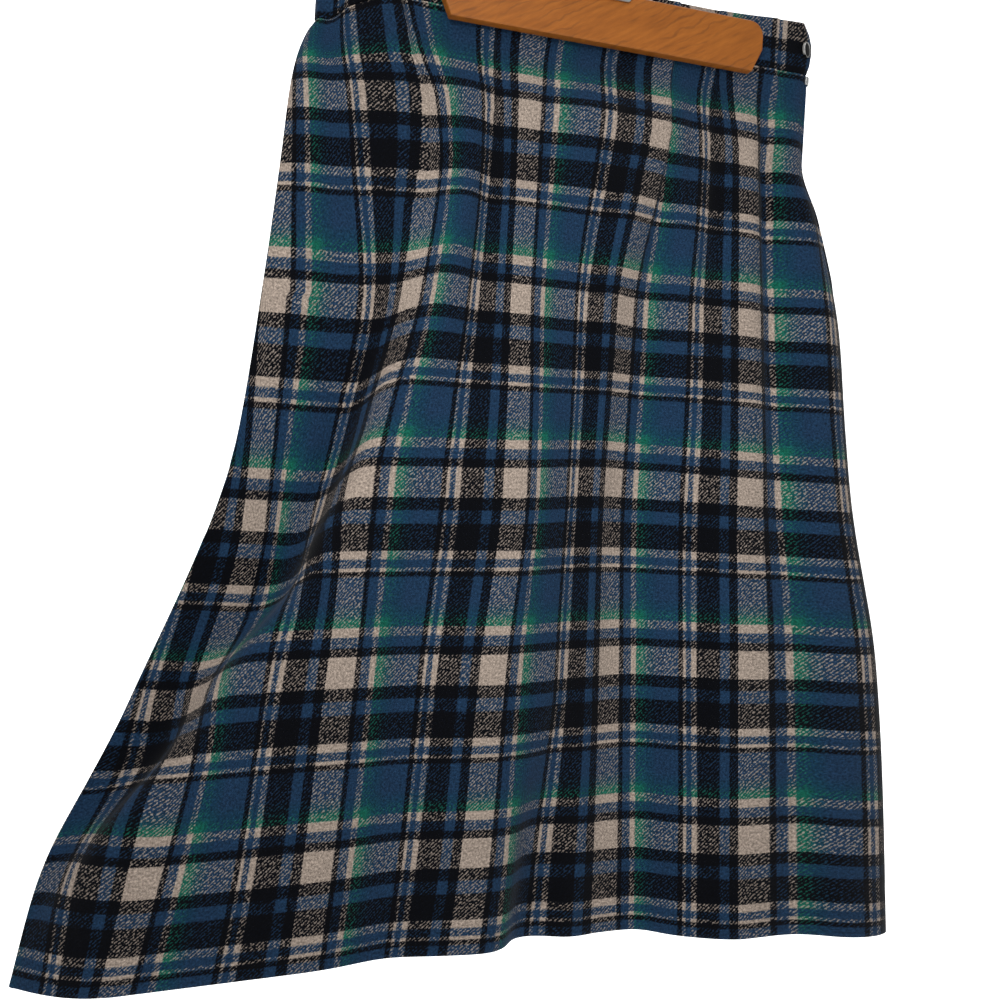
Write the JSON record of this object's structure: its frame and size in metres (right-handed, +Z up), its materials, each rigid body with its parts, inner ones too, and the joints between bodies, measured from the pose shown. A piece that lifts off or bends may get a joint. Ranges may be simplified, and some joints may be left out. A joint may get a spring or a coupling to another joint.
{
  "type": "tartan skirt on a wooden clamp hanger",
  "caption": "A-line wool tartan skirt with a buttoned waistband and side zip, hanging from a wooden clamp hanger with a steel hook.",
  "frame": {"origin": "the point inside the top of the hanger's hook that rests on a rail", "axes": "+Z up, the skirt's front faces -Y, +X to the viewer's right, where the side zip and button are"},
  "size_m": [0.7118, 0.1185, 0.8402],
  "materials": {
    "tartan_front": "brushed wool flannel in a 2/2 twill, navy, blue, green and cream tartan",
    "tartan_back": "the same brushed wool tartan",
    "tartan_waistband": "the same wool tartan, cut as a straight strip and faced double",
    "zip_metal": "dull zip chain",
    "button_horn": "near-black polished button with a pale metal rim",
    "hanger_wood": "satin-lacquered orange-brown wood with fine dark grain",
    "hanger_steel": "bright plated steel"
  },
  "bodies": {
    "root": {"front_panel": "tartan_front", "back_panel": "tartan_back", "waistband": "tartan_waistband", "side_zip": "zip_metal", "zip_slider": "zip_metal", "waist_button": "button_horn", "hanger_bar_front": "hanger_wood", "hanger_bar_back": "hanger_wood", "hanger_yoke": "hanger_steel", "hanger_hook": "hanger_steel"}
  },
  "joints": []
}
